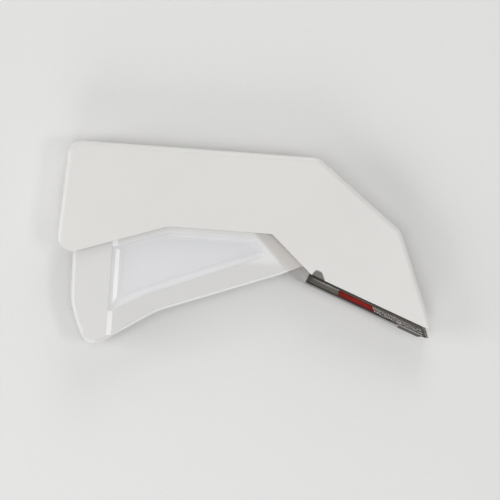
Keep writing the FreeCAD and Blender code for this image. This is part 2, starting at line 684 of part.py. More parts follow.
def drive_arm():
    """Steel arm that is keyed into the trigger and reaches forward to the driver."""
    run = (PIN_REST - PIVOT).normalize()
    frame = frame_at(PIVOT, run, Vec(-run.y, run.x, 0))
    half = ARM_HALF_THICKNESS
    arm = prism(points((0, ARM_ROOT_HALF), (ARM_REACH, ARM_TIP_HALF), (ARM_REACH, -ARM_TIP_HALF),
                       (0, -ARM_ROOT_HALF)), -half, half)
    arm = placed(arm, frame)
    arm = arm.fuse([disc(PIVOT, ARM_ROOT_HALF, -half, half), disc(PIN_REST, ARM_TIP_HALF, -half, half)])
    tail = points((-ARM_TAIL, ARM_TAIL_TOP), (0, ARM_ROOT_HALF), (0, -ARM_ROOT_HALF),
                  (-ARM_TAIL, -ARM_TAIL_FOOT))
    tail = prism([PIVOT + corner for corner in tail], -half, half)
    arm = arm.fuse(tail).removeSplitter()
    return arm.cut([disc(PIVOT, PIVOT_PIN_R + RUNNING_GAP, -FAR, FAR),
                    disc(DOWEL, DOWEL_R + PRESS_GAP, -FAR, FAR),
                    disc(PIN_REST, DRIVE_PIN_R + PRESS_GAP, -FAR, FAR)])


def drive_pin():
    half = CARRIER_HALF_WIDTH - 0.1
    pin = disc(PIN_REST, DRIVE_PIN_R, -half, half)
    return pin.makeChamfer(0.25, pin.Edges)


# Return spring

def return_leg_start(angle):
    """Where a leg in that direction leaves the coil as a tangent, on the coil's top side."""
    side = 90 if angle < 90 else -90
    return PIVOT + polar(angle + side, RETURN_COIL_R)


def return_spring():
    """Torsion spring round the pivot, one leg on the housing's rib and one on the trigger."""
    pitch = 2 * RETURN_WIRE_R + 0.1
    start_angle = RETURN_UPPER_ANGLE + 90
    sweep = RETURN_TURNS * 360 + RETURN_LOWER_ANGLE - 90 - start_angle
    height = pitch * sweep / 360
    near = Vec(0, 0, RETURN_Z + RETURN_WIRE_R + RUNNING_GAP)
    far = near + Vec(0, 0, height)
    coil = coil_spring(RETURN_COIL_R, RETURN_WIRE_R, pitch, height)
    coil.rotate(Vec(0, 0, 0), UP, start_angle)
    coil.translate(PIVOT + near)
    start = return_leg_start(RETURN_UPPER_ANGLE) + near
    end = return_leg_start(RETURN_LOWER_ANGLE) + far
    legs = []
    for point, angle in ((start, RETURN_UPPER_ANGLE), (end, RETURN_LOWER_ANGLE)):
        leg = polar(angle)
        leg_r = RETURN_WIRE_R + RUNNING_GAP / 2
        lap = RETURN_WIRE_R / 2
        legs.append(Part.makeCylinder(leg_r, RETURN_LEG + lap, point - leg * lap, leg))
    return coil.fuse(legs)


# Driver

def carrier_span():
    """Top and foot of the carrier along the nose front, at rest."""
    reach = DRIVE_PIN_R + YOKE_GAP + YOKE_WALL
    return PIN_REST_ALONG - reach, PIN_REST_ALONG + reach


def driver_carrier():
    """Moulded yoke that turns the arm's swing into the blade's stroke."""
    top, foot = carrier_span()
    front = BLADE_FRONT + BLADE_THICKNESS
    body = box(top, foot, -(front + CARRIER_DEPTH), -front, -CARRIER_HALF_WIDTH, CARRIER_HALF_WIDTH)
    long_edges = [e for e in body.Edges if abs(abs(e.CenterOfMass.z)) < 1e-6]
    body = body.makeFillet(0.6, long_edges)
    gap = ARM_HALF_THICKNESS + CARRIER_CHEEK_GAP
    gap_front = PIN_REST_INWARD - ARM_TIP_HALF - 0.6
    middle = box(top - 1, foot + 1, -FAR, -gap_front, -gap, gap)
    slot_half = DRIVE_PIN_R + YOKE_GAP
    slot_front = PIN_REST_INWARD - slot_half
    slot_back = PIN_FULL_INWARD + slot_half
    yoke = box(PIN_REST_ALONG - slot_half, PIN_REST_ALONG + slot_half, -slot_back, -slot_front, -FAR, FAR)
    round_edges = [e for e in yoke.Edges if abs(e.CenterOfMass.z) < 1e-6]
    yoke = yoke.makeFillet(slot_half - 0.3, round_edges)
    body = placed(body.cut([middle, yoke]), NOSE_FRAME)
    return body.cut([placed(r, SHEET_FRAME) for r in rivet_shapes(PRESS_GAP)])


def rivet_shapes(grow):
    """Flush rivets of the blade in the sheet frame."""
    shapes = []
    for side in (-1, 1):
        centre = Vec(PIN_REST_ALONG, side * (CARRIER_HALF_WIDTH - 1.4), 0)
        shapes.append(disc(centre, RIVET_R + grow, BLADE_FRONT,
                           BLADE_FRONT + BLADE_THICKNESS + RIVET_REACH + grow))
    return shapes


def driver_blade():
    """Steel former: its fork passes on both sides of the anvil."""
    half = BLADE_HALF_WIDTH
    fork = FORK_HALF_WIDTH
    crotch = BLADE_FOOT - DRIVER_STROKE - 1.0
    corners = points((BLADE_TOP, -half), (BLADE_TOP, half), (BLADE_FOOT, half), (BLADE_FOOT, fork),
                     (crotch, fork), (crotch, -fork), (BLADE_FOOT, -fork), (BLADE_FOOT, -half))
    plate = prism(corners, BLADE_FRONT, BLADE_FRONT + BLADE_THICKNESS, [0.6, 0.6, 0.2, 0, 0.8, 0.8, 0, 0.2])
    return placed(plate.cut(rivet_shapes(PRESS_GAP)), SHEET_FRAME)


def driver_rivets():
    return Part.makeCompound([placed(r, SHEET_FRAME) for r in rivet_shapes(0)])


# Magazine

def folded_tab():
    """Tab of one side: a strip under the floor, folded up into the flank's seat."""
    seat = HALF_THICKNESS - TAB_SINK
    strip = box(-TAB_REAR, TAB_FOOT - TAB_REAR, -PLATE, 0, CHANNEL_INNER_HALF, seat + PLATE)
    return strip.fuse(prism(tab_outline(-PLATE), seat, seat + PLATE, [0, 0, 0.5, 0.5, 0, 0, 0]))


def magazine_channel():
    """Folded steel channel with a long window and a locking tab each side."""
    front_top, front_low = slant_x(CHANNEL_FRONT, 0), slant_x(CHANNEL_FRONT, -CHANNEL_DEPTH)
    outer_half = CHANNEL_INNER_HALF + PLATE
    side = points((-CHANNEL_LENGTH, 0), (front_top, 0), (front_low, -CHANNEL_DEPTH),
                  (-CHANNEL_LENGTH, -CHANNEL_DEPTH))
    body = prism(side, -outer_half, outer_half)
    fold = [e for e in body.Edges if abs(e.CenterOfMass.y) < 1e-6 and e.Length > CHANNEL_LENGTH / 2]
    body = body.makeFillet(PLATE * 0.8, fold)
    inner = box(-CHANNEL_LENGTH - 1, FAR, -FAR, -PLATE, -CHANNEL_INNER_HALF, CHANNEL_INNER_HALF)
    rear = WINDOW_REAR_MARGIN - CHANNEL_LENGTH
    window = prism(points((rear, -WINDOW_TOP),
                          (slant_x(CHANNEL_FRONT, -WINDOW_TOP) - WINDOW_FRONT_BRIDGE, -WINDOW_TOP),
                          (slant_x(CHANNEL_FRONT, -WINDOW_BOTTOM) - WINDOW_FRONT_BRIDGE, -WINDOW_BOTTOM),
                          (rear, -WINDOW_BOTTOM)), -FAR, FAR, [0.5, 0.3, 0.3, 0.5])
    body = body.cut([inner, window]).fuse(both_sides(folded_tab()))
    return placed(body.removeSplitter(), MAGAZINE_FRAME)


def flange_side(sheet):
    """Side view of the rail's flange, thickened below by a sheet."""
    top, low = -CHANNEL_DEPTH, -(CHANNEL_DEPTH + FLANGE_THICKNESS + sheet)
    rake = FLANGE_RAKE * (top - low) / FLANGE_THICKNESS
    return points((-CHANNEL_LENGTH, top), (-FLANGE_FRONT, top), (-FLANGE_FRONT - rake, low),
                  (-CHANNEL_LENGTH, low))


def anvil_rail():
    """Inner rail that the staples straddle; its front tongue is the anvil."""
    side = points((-CHANNEL_LENGTH, RAIL_TOP), (slant_x(CHANNEL_FRONT, RAIL_TOP), RAIL_TOP),
                  (slant_x(CHANNEL_FRONT, -CHANNEL_DEPTH), -CHANNEL_DEPTH),
                  (-CHANNEL_LENGTH, -CHANNEL_DEPTH))
    rail = prism(side, -RAIL_HALF, RAIL_HALF)
    trough_half = RAIL_HALF - RAIL_WALL
    trough_end = slant_x(CHANNEL_FRONT + ANVIL_ROOT, RAIL_TOP)
    trough = box(-CHANNEL_LENGTH - 1, trough_end, -CHANNEL_DEPTH, 0, -trough_half, trough_half)
    flange = prism(flange_side(0), -FLANGE_HALF, FLANGE_HALF)
    under = RAIL_TOP - ANVIL_THICKNESS
    tongue = prism(points((trough_end, RAIL_TOP), (slant_x(BLADE_FRONT, RAIL_TOP), RAIL_TOP),
                          (slant_x(BLADE_FRONT, under), under), (trough_end, under)),
                   -ANVIL_HALF, ANVIL_HALF, [0, 0, 0.3, 0])
    return placed(rail.cut(trough).fuse([flange, tongue]).removeSplitter(), MAGAZINE_FRAME)


def anvil_clip():
    """Folded clip round the front of the flange."""
    side = flange_side(CLIP_SHEET)
    lip = -CHANNEL_DEPTH + CLIP_LIP
    corners = [Vec(-CLIP_REAR, lip, 0), Vec(side[1].x, lip, 0), side[1], side[2],
               Vec(-CLIP_REAR + 1.0, side[2].y, 0)]
    half = FLANGE_HALF + CLIP_SHEET
    body = prism(corners, -half, half, [0.3, 0.2, 0, 0, 0.5])
    low = -(CHANNEL_DEPTH + FLANGE_THICKNESS)
    inner = box(-2 * FAR, FAR, low, FAR, -FLANGE_HALF, FLANGE_HALF)
    return placed(body.cut(inner), MAGAZINE_FRAME)


def magazine_plug():
    """Moulded plug behind the channel: it seats the follower spring and tapers to the rear."""
    low = -(CHANNEL_DEPTH + FLANGE_THICKNESS)
    seat = -CHANNEL_LENGTH
    rear = seat - PLUG_LENGTH
    half = CHANNEL_INNER_HALF + PLATE
    body = prism(points((rear, 0), (seat, 0), (seat, low), (seat - PLUG_SOLE, low), (rear, -PLUG_BACK)),
                 -half, half, [0.6, 0, 0, 1.0, 0.6])
    nose_half = RAIL_HALF - RAIL_WALL - PLUG_FIT
    cap_half = CHANNEL_INNER_HALF - PLUG_FIT
    nose = box(seat - 0.5, seat + PLUG_NOSE, -CHANNEL_DEPTH + PLUG_FIT, RAIL_TOP + PLUG_FIT,
               -nose_half, nose_half)
    cap = box(seat - 0.5, seat + PLUG_NOSE, RAIL_TOP + PLUG_FIT, -PLATE - PLUG_FIT, -cap_half, cap_half)
    return placed(body.fuse([nose, cap]).removeSplitter(), MAGAZINE_FRAME)


def ejector_spring():
    """Leaf spring in the rail's trough behind the anvil; its free end lifts a closed staple."""
    base = -CHANNEL_DEPTH
    rear, free = -EJECTOR_REAR, EJECTOR_LENGTH - EJECTOR_REAR
    bend = rear + EJECTOR_LENGTH * 0.6
    sheet = EJECTOR_SHEET
    corners = points((rear, base + sheet), (bend, base + sheet), (free, base + sheet + EJECTOR_RISE),
                     (free, base + EJECTOR_RISE), (bend, base), (rear, base))
    half = RAIL_HALF - RAIL_WALL - 2 * SIDE_GAP
    return placed(prism(corners, -half, half), MAGAZINE_FRAME)


def guide_plate():
    """Steel angle behind the blade: its foot lies on the housing's floor."""
    front = BLADE_FRONT + BLADE_THICKNESS + BLADE_CLEARANCE
    back = front + GUIDE_SHEET
    base = FLOOR_WALL
    crest = base + GUIDE_SHEET
    rear = slant_x(front, base) - GUIDE_FOOT
    corners = [nose_point(GUIDE_TOP, front), magazine_point(slant_x(front, base), base),
               magazine_point(rear, base), magazine_point(rear, crest),
               magazine_point(slant_x(back, crest), crest), nose_point(GUIDE_TOP, back)]
    return prism(corners, -GUIDE_HALF, GUIDE_HALF, [0, 0.8, 0, 0, 0.3, 0])


# Staples and their feed

def staple():
    """One open staple in the driver's plane, in the sheet frame."""
    half = STAPLE_WIDTH / 2
    top = STAPLE_TOP_ALONG
    tip = top + STAPLE_HEIGHT
    bevel = 0.45
    bend = STAPLE_BEND
    corners = points((top, bend - half), (top, half - bend), (top + bend, half), (tip - bevel, half),
                     (tip, half - WIRE), (top + WIRE, half - WIRE), (top + WIRE, WIRE - half),
                     (tip, WIRE - half), (tip - bevel, -half), (top + bend, -half))
    return placed(prism(corners, STAPLE_INWARD, STAPLE_INWARD + WIRE), SHEET_FRAME)


def staples():
    """The full stack behind the driver, from the staple that is ready backwards."""
    first = staple()
    stack = []
    for i in range(STAPLE_COUNT):
        copy = first.copy()
        copy.translate(MAGAZINE_RUN * (-i * STAPLE_PITCH))
        stack.append(copy)
    return Part.makeCompound(stack)


def follower():
    """Red follower astride the rail, its front face parallel to the staples."""
    face_inward = STAPLE_INWARD + WIRE + STAPLE_SLIP
    behind = (STAPLE_COUNT - 1) * STAPLE_PITCH

    def front(height):
        return slant_x(face_inward, height) - behind - 0.01

    top = -(PLATE + FOLLOWER_GAP)
    low = -(CHANNEL_DEPTH - FOLLOWER_GAP - 0.1)
    rear = front(top) - FOLLOWER_LENGTH
    half = CHANNEL_INNER_HALF - FOLLOWER_GAP
    corners = points((rear, top), (front(top), top), (front(low), low), (rear + 1.0, low))
    body = prism(corners, -half, half, [0.3, 0, 0, 0.3])
    rail = RAIL_HALF + FOLLOWER_GAP
    trough = RAIL_HALF - RAIL_WALL - FOLLOWER_GAP
    cuts = []
    for low_z, high_z in ((-rail, -trough), (trough, rail)):
        cuts.append(box(-FAR * 2, FAR, -FAR, RAIL_TOP + FOLLOWER_GAP, low_z, high_z))
    ledge = -(WINDOW_TOP + FOLLOWER_LEDGE_DROP)
    cuts += both_sides(box(-FAR * 2, FAR, ledge, FAR, half - FOLLOWER_LEDGE, FAR))
    return placed(body.cut(cuts), MAGAZINE_FRAME)


def follower_rear():
    """Magazine-frame x of the follower's rear face."""
    face_inward = STAPLE_INWARD + WIRE + STAPLE_SLIP
    top = -(PLATE + FOLLOWER_GAP)
    return slant_x(face_inward, top) - (STAPLE_COUNT - 1) * STAPLE_PITCH - 0.01 - FOLLOWER_LENGTH


def follower_spring():
    """Compression spring in the rail's trough, between the plug and the follower."""
    centre = -(CHANNEL_DEPTH - SPRING_R - SPRING_WIRE_R - 0.15)
    start = -CHANNEL_LENGTH + PLUG_NOSE + SPRING_WIRE_R + 0.02
    length = follower_rear() - SPRING_WIRE_R - 0.05 - start
    coil = coil_spring(SPRING_R, SPRING_WIRE_R, length / SPRING_TURNS, length)
    lay = FreeCAD.Placement(Vec(start, centre, 0), FreeCAD.Rotation(Vec(0, 1, 0), 90))
    coil.Placement = MAGAZINE_FRAME.multiply(lay)
    return coil


PIECES = {
    "left_shell": left_shell,
    "right_shell": right_shell,
    "pivot_pin": pivot_pin,
    "trigger": trigger,
    "arm_dowel": arm_dowel,
    "drive_arm": drive_arm,
    "drive_pin": drive_pin,
    "return_spring": return_spring,
    "driver_carrier": driver_carrier,
    "driver_blade": driver_blade,
    "driver_rivets": driver_rivets,
    "guide_plate": guide_plate,
    "magazine_channel": magazine_channel,
    "anvil_rail": anvil_rail,
    "anvil_clip": anvil_clip,
    "magazine_plug": magazine_plug,
    "ejector_spring": ejector_spring,
    "staples": staples,
    "follower": follower,
    "follower_spring": follower_spring,
}


def base_shift(shapes):
    """Move that puts the origin at the bottom centre of the whole tool."""
    whole = Part.makeCompound(list(shapes.values())).optimalBoundingBox(False)
    return Vec(-(whole.XMin + whole.XMax) / 2, -(whole.YMin + whole.YMax) / 2, -whole.ZMin)


def main():
    os.makedirs("parts", exist_ok=True)
    shapes = {name: make() for name, make in PIECES.items()}
    shift = base_shift(shapes)
    for name, shape in shapes.items():
        moved = shape.copy()
        moved.translate(shift)
        moved.exportStep(f"parts/{name}.step")


if __name__ == "__main__":
    main()
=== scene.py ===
import json
import math

import bpy
import numpy as np
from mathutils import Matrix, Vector


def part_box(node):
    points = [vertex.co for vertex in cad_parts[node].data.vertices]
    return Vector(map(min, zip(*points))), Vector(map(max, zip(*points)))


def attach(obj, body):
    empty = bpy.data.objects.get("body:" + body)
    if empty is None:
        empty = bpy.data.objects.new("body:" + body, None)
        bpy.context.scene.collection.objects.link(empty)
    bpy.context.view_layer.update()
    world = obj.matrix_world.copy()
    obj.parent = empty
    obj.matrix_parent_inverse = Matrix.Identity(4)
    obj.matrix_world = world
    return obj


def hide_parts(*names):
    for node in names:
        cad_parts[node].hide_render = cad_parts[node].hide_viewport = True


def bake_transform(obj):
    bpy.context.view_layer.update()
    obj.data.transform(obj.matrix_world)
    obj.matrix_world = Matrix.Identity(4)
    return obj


# Disposable skin stapler lying on its flank, seen from straight above.
# Lengths are metres in the frame of the construction model: +X towards the nose, +Y towards the
# back of the housing, +Z up from the floor.

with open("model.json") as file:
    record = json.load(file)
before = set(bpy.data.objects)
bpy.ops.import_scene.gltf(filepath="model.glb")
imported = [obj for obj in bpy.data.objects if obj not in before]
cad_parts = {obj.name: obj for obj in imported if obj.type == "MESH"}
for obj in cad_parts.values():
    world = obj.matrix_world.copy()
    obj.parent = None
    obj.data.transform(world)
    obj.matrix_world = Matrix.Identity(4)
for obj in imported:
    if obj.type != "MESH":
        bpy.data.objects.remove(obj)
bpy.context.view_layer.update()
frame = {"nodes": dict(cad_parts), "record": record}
MM = 0.001


# Directions, places and sizes taken from the construction model

MAGAZINE_TURN = -20.9      # run of the magazine in the side view, degrees from +X
NOSE_TURN = -68.0          # run of the nose, along which the driver moves
SHOULDER_TURN = 43.5       # square to the crease where the lever dips under the housing


def heading(degrees):
    """Unit vector in the side view at an angle from +X."""
    return np.array([math.cos(math.radians(degrees)), math.sin(math.radians(degrees)), 0.0])


ACROSS = np.array([0.0, 0.0, 1.0])
MAGAZINE_RUN = heading(MAGAZINE_TURN)
MAGAZINE_UP = heading(MAGAZINE_TURN + 90)
NOSE_RUN = heading(NOSE_TURN)
NOSE_INWARD = np.cross(NOSE_RUN, ACROSS)

squeeze = next(j for j in frame["record"]["behaviour"]["joints"] if j["name"] == "trigger_squeeze")
lever_low, lever_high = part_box("trigger")
PARTING = (lever_low.z + lever_high.z) / 2
PIVOT = np.array(squeeze["pos_m"])
TIP = PIVOT + 65.0 * MM * MAGAZINE_RUN - 8.4 * MM * MAGAZINE_UP
CREASE = PIVOT + np.array([-18.6, 3.1, 0.0]) * MM
TOE = np.array([PIVOT[0] - 85.0 * MM, PIVOT[1] - 41.016 * MM, PARTING])
HEEL_EAST = lever_low.x + 17.7 * MM   # middle of the slope before the lever's wider rear block
LEVER_HALF = 6.7 * MM                 # half width of the lever
PANEL_HALF = 4.7 * MM                 # half width between its sunken panels
BROW_DROP = 7.5 * MM                  # below the pivot, where the lever's upper rim is painted paler (painted light)

# Where the magazine's tones change, most of them painted light and shade: over the nose's
# underside, along from its tip, half widths
TAB_RISE = 0.1 * MM
FOLD_RISE = -0.5 * MM
SILL_RISE = -3.2 * MM
LIP_RISE = -3.75 * MM
CLIP_END_ALONG = -14.45 * MM
CLIP_HALF = 3.89 * MM
BROWN_TONE_HALF = 2.65 * MM


# Node materials

class Signal:
    """A number that flows through a material; Python operators on it add Math nodes."""

    def __init__(self, finish, socket):
        self.finish = finish
        self.socket = socket

    def _math(self, operation, *values):
        node = self.finish.node("Math", {"operation": operation}, dict(enumerate(values)))
        return Signal(self.finish, node.outputs[0])

    def __add__(self, other):
        return self._math("ADD", self, other)

    def __radd__(self, other):
        return self._math("ADD", other, self)

    def __sub__(self, other):
        return self._math("SUBTRACT", self, other)

    def __rsub__(self, other):
        return self._math("SUBTRACT", other, self)

    def __mul__(self, other):
        return self._math("MULTIPLY", self, other)

    def __rmul__(self, other):
        return self._math("MULTIPLY", other, self)

    def __abs__(self):
        return self._math("ABSOLUTE", self)

    def upper(self, other):
        return self._math("MAXIMUM", self, other)

    def step(self, low, high):
        """0 at low, 1 at high, smooth between; low may be the larger of the two."""
        node = self.finish.node("MapRange", {"interpolation_type": "SMOOTHSTEP"},
                                {"Value": self, "From Min": low, "From Max": high})
        return Signal(self.finish, node.outputs["Result"])

    def border(self, line, blur):
        """0 before a line, 1 past it, smooth over a blur each side; a negative blur swaps them."""
        return self.step(line - blur, line + blur)

    def spread(self):
        """The middle of a noise, stretched to run from 0 to 1."""
        return self.step(0.3, 0.7)

    def swing(self, amount):
        """A noise about zero, with an amount between its extremes."""
        return (self - 0.5) * amount


class Finish:
    """Node material, or world, being put together."""

    def __init__(self, name, kind=bpy.data.materials):
        self.block = kind.new(name)
        self.block.use_nodes = True
        self.tree = self.block.node_tree
        self.tree.nodes.clear()
        coordinates = self.node("TexCoord").outputs
        self.place = coordinates["Object"]
        self.facing = coordinates["Normal"]
        self.direction = coordinates["Generated"]

    def node(self, kind, settings=None, inputs=None):
        """Adds one node: its settings are set first, then each input gets a value or a link."""
        node = self.tree.nodes.new("ShaderNode" + kind)
        for name, value in (settings or {}).items():
            setattr(node, name, value)
        for name, value in (inputs or {}).items():
            if isinstance(value, Signal):
                value = value.socket
            if isinstance(value, bpy.types.NodeSocket):
                self.tree.links.new(value, node.inputs[name])
            else:
                node.inputs[name].default_value = value
        return node

    def turned(self, degrees, stretch):
        """Object coordinates turned about Z so that X runs along a piece, then stretched."""
        spun = self.node("Mapping", {"vector_type": "POINT"},
                         {"Vector": self.place, "Rotation": (0, 0, -math.radians(degrees))})
        return self.node("VectorMath", {"operation": "MULTIPLY"},
                         {0: spun.outputs[0], 1: stretch}).outputs[0]

    def along(self, direction, start):
        """Distance from a start point along a direction."""
        moved = self.node("VectorMath", {"operation": "SUBTRACT"}, {0: self.place, 1: tuple(start)})
        dot = self.node("VectorMath", {"operation": "DOT_PRODUCT"},
                        {0: moved.outputs[0], 1: tuple(direction)})
        return Signal(self, dot.outputs["Value"])

    def parts(self, vector):
        """The three coordinates of a vector."""
        node = self.node("SeparateXYZ", inputs={0: vector})
        return [Signal(self, socket) for socket in node.outputs]

    def noise(self, scale, vector=None, detail=2.0, roughness=0.5):
        """Cloudy noise over a piece; a larger scale is finer."""
        node = self.node("TexNoise", {"noise_dimensions": "3D"},
                         {"Vector": vector or self.place, "Scale": scale, "Detail": detail,
                          "Roughness": roughness})
        return Signal(self, node.outputs[0])

    def colour(self, factor, low, high):
        """Blend of two colours by a signal."""
        return self.layer(factor, (*low, 1), high)

    def layer(self, factor, under, over):
        """A colour socket with another colour laid over it by a signal."""
        node = self.node("Mix", {"data_type": "RGBA"}, {0: factor, 6: under, 7: (*over, 1)})
        return node.outputs[2]

    def relief(self, height, distance, strength):
        """Normal of a surface that a height from 0 to 1 raises by up to a distance."""
        inputs = {"Height": height, "Distance": distance, "Strength": strength}
        return self.node("Bump", inputs=inputs).outputs[0]

    def close(self, **sockets):
        """Principled surface with its sockets by name, underscores for spaces."""
        inputs = {name.replace("_", " "): value for name, value in sockets.items()}
        shader = self.node("BsdfPrincipled", inputs=inputs)
        self.node("OutputMaterial", inputs={"Surface": shader.outputs[0]})
        return self.block


def moulded_white(name, tone, shade, gloss=0.32):
    """Satin moulded plastic: a fine spark-eroded texture, faint flow marks and handling haze."""
    f = Finish(name)
    flow = f.noise(26, detail=3, roughness=0.6)
    haze = f.noise(160, detail=2)
    base = f.colour(flow.spread(), shade, tone)
    rough = gloss + haze.swing(0.06) + flow.swing(0.04)
    normal = f.relief(f.noise(2400, detail=1), 0.006 * MM, 0.4)
    return f.close(Base_Color=base, Roughness=rough, Normal=normal, IOR=1.49)


def lever_white(name):
    """Glossier plastic of the lever, with light and shade painted into its colour: a paler, cooler
    sunken panel (painted reflection), greyer rims, a paler upper rim and heel block (painted
    light), and a darker warm shoulder (painted shade).

    The panel's rear and lower walls are painted palest (painted highlight), its upper and front
    walls painted darker (painted shade) and made rougher.
    """
    f = Finish(name)
    flow = f.noise(30, detail=3, roughness=0.6).spread()
    east, north, up = f.parts(f.place)
    facing_east, facing_north, facing_up = f.parts(f.facing)
    depth = abs(up - PARTING)
    heel = east.border(HEEL_EAST, -1.5 * MM)
    shoulder = f.along(heading(SHOULDER_TURN), CREASE).step(-0.5 * MM, 1.2 * MM)
    flank = abs(facing_up).step(0.25, 0.55) * (1 - shoulder)
    brow = north.border(PIVOT[1] - BROW_DROP, 2 * MM)
    panel = depth.step(LEVER_HALF - 0.2 * MM, LEVER_HALF - 1.5 * MM) * flank
    wall = depth.step(PANEL_HALF + 0.05 * MM, PANEL_HALF + 0.4 * MM)
    wall = wall * depth.step(LEVER_HALF - 0.02 * MM, LEVER_HALF - 0.3 * MM) * flank
    # which of the panel's walls get a painted highlight and which painted shade, by the way they
    # face
    painted_highlight_side = (facing_east - abs(facing_north)).step(0.02, 0.15)
    painted_highlight_side = painted_highlight_side.upper(facing_north.step(0.03, 0.2)).upper(1 - brow)
    painted_shade_matte_wall = wall * (1 - painted_highlight_side)
    base = f.colour(flow, (0.63, 0.625, 0.615), (0.645, 0.64, 0.63))
    # painted light: the upper rim under the housing painted paler, against the housing's shadow
    base = f.layer(brow * flank, base, (0.735, 0.73, 0.723))
    # painted light: the heel block painted paler
    base = f.layer(heel, base, (0.675, 0.67, 0.66))
    # painted shade: the shoulder by the throat painted darker and warmer
    base = f.layer(shoulder * (1 - 0.2 * flow), base, (0.65, 0.625, 0.60))
    # painted reflection: the sunken panel painted paler and cooler than the rest of the lever
    base = f.layer(panel * (1 - 0.15 * flow), base, (0.69, 0.692, 0.708))
    # painted highlight on the panel's rear and lower walls
    base = f.layer(wall * painted_highlight_side * 0.8, base, (0.79, 0.79, 0.80))
    # painted shade on the panel's upper and front walls, which are also made rougher
    base = f.layer(painted_shade_matte_wall * 0.8, base, (0.63, 0.63, 0.645))
    rough = 0.2 + 0.2 * painted_shade_matte_wall + f.noise(140, detail=2).swing(0.05)
    normal = f.relief(f.noise(2400, detail=1), 0.003 * MM, 0.3)
    return f.close(Base_Color=base, Roughness=rough, Normal=normal, IOR=1.49)


def sheet_steel(f, rough):
    """Rolled stainless sheet along the magazine: a tone of broad and fine lines and dull clouds.

    Gives the tone, the roughness and the normal.
    """
    broad = f.noise(1.0, f.turned(MAGAZINE_TURN, (24, 2300, 1500)), detail=2)
    fine = f.noise(1.0, f.turned(MAGAZINE_TURN, (60, 9000, 9000)), detail=3, roughness=0.65)
    cloud = f.noise(420, detail=2)
    tone = 0.62 + 0.3 * broad.spread() + 0.2 * fine.spread()
    roughness = rough + fine.swing(0.2) + cloud.swing(0.1)
    return tone, roughness, f.relief(fine, 0.006 * MM, 0.5)


def channel_steel(name):
    """Sheet of the magazine, painted near black as a painted dark reflection; its locking tab
    painted lighter (painted reflection), its folded back edge and lower sill painted darker
    (painted shade).
    """
    f = Finish(name)
    tone, roughness, normal = sheet_steel(f, 0.3)
    rise = f.along(MAGAZINE_UP, TIP)
    tab = rise.border(TAB_RISE, 0.2 * MM)
    fold = rise.border(FOLD_RISE, 0.1 * MM) * (1 - tab)
    sill = rise.border(SILL_RISE, -0.1 * MM)
    # painted reflection: the sheet painted near black, standing in for the dark surround it mirrors
    base = f.colour(tone, (0.03, 0.029, 0.028), (0.32, 0.305, 0.29))
    # painted shade below the window's sill
    base = f.layer(sill * 0.6, base, (0.08, 0.075, 0.07))
    # painted reflection: the tab painted lighter
    base = f.layer(tab * 0.8, base, (0.44, 0.42, 0.40))
    # painted shade along the folded back edge
    base = f.layer(fold * 0.6, base, (0.05, 0.046, 0.043))
    return f.close(Base_Color=base, Metallic=1.0, Roughness=roughness + 0.15 * tab, Normal=normal)


def rail_steel(name):
    """Light sheet of the anvil rail, brown inside the magazine.

    The clip round its front is painted dark (painted shade), with a painted highlight on its lip
    and on its rear end.
    """
    f = Finish(name)
    tone, roughness, normal = sheet_steel(f, 0.42)
    depth = abs(f.parts(f.place)[2] - PARTING)
    clip = depth.border(CLIP_HALF, 0.06 * MM)
    lip = f.along(MAGAZINE_UP, TIP).border(LIP_RISE, 0.1 * MM)
    end = f.along(MAGAZINE_RUN, TIP).border(CLIP_END_ALONG, -0.15 * MM)
    inside = depth.border(BROWN_TONE_HALF, -0.25 * MM)
    base = f.colour(tone, (0.14, 0.138, 0.136), (0.64, 0.63, 0.62))
    # painted shade: the clip painted dark
    base = f.layer(clip * 0.75, base, (0.09, 0.086, 0.083))
    # painted highlight on the clip's lip and on its rear end
    base = f.layer(clip * lip.upper(end), base, (0.72, 0.70, 0.68))
    base = f.layer(inside * (0.75 + 0.25 * tone), base, (0.33, 0.295, 0.26))
    return f.close(Base_Color=base, Metallic=1.0, Roughness=roughness, Normal=normal)


def blade_steel(name):
    """Bright ground sheet of the driver, guide and arm, with its lines along the stroke."""
    f = Finish(name)
    fine = f.noise(1.0, f.turned(NOSE_TURN, (60, 9000, 9000)), detail=3, roughness=0.65)
    base = f.colour(fine.spread(), (0.42, 0.41, 0.40), (0.56, 0.55, 0.54))
    return f.close(Base_Color=base, Metallic=1.0, Roughness=0.28 + fine.swing(0.2),
                   Normal=f.relief(fine, 0.006 * MM, 0.5))


def drawn_wire(name, tone, rough=0.24):
    """Drawn wire: bright, with the faint cloudiness of the die."""
    f = Finish(name)
    cloud = f.noise(2600, detail=2)
    base = f.colour(cloud.spread(), tuple(0.8 * c for c in tone), tone)
    normal = f.relief(cloud, 0.004 * MM, 0.4)
    return f.close(Base_Color=base, Metallic=1.0, Roughness=rough + cloud.swing(0.16),
                   Normal=normal)


def coloured_plastic(name, tone, shade, gloss=0.3, shine=0.5):
    """Moulded coloured plastic with shallow flow marks."""
    f = Finish(name)
    flow = f.noise(380, detail=3)
    grain = f.noise(6000, detail=1)
    base = f.colour(flow.step(0.3, 0.75), shade, tone)
    normal = f.relief(grain, 0.008 * MM, 0.5)
    return f.close(Base_Color=base, Roughness=gloss + flow.swing(0.16), Normal=normal,
                   Specular_IOR_Level=shine)


